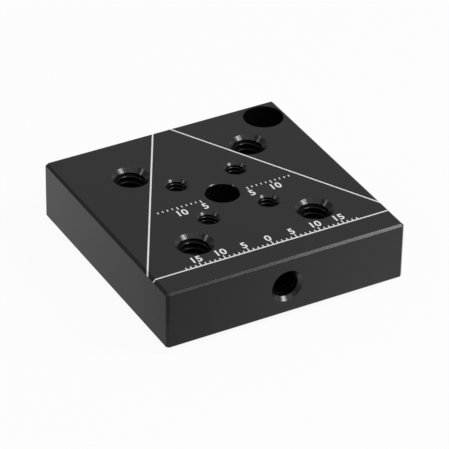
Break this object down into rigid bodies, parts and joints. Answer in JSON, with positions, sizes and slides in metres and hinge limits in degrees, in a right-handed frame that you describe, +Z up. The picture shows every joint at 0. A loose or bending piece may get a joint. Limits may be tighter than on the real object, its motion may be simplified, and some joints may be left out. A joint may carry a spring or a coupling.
{
  "type": "kinematic base plate",
  "caption": "Square black plate with tapped and plain holes, standing on steel balls with magnets beside them; the removable upper half of a kinematic base.",
  "frame": {"origin": "on the surface that the balls stand on, under the middle of the plate", "axes": "+Z up through the plate, -Y out of the front face with the side hole, +X to the right seen from the front"},
  "size_m": [0.05, 0.05, 0.0135],
  "materials": {
    "anodised_plate": "matte black anodised",
    "ball_steel": "polished hardened steel",
    "nickel_plate": "bright nickel plating",
    "white_marking": "matte white marking"
  },
  "bodies": {
    "root": {"plate": "anodised_plate", "ball_back": "ball_steel", "ball_left": "ball_steel", "ball_right": "ball_steel", "magnet_back": "nickel_plate", "magnet_left": "nickel_plate", "magnet_right": "nickel_plate"}
  },
  "joints": []
}
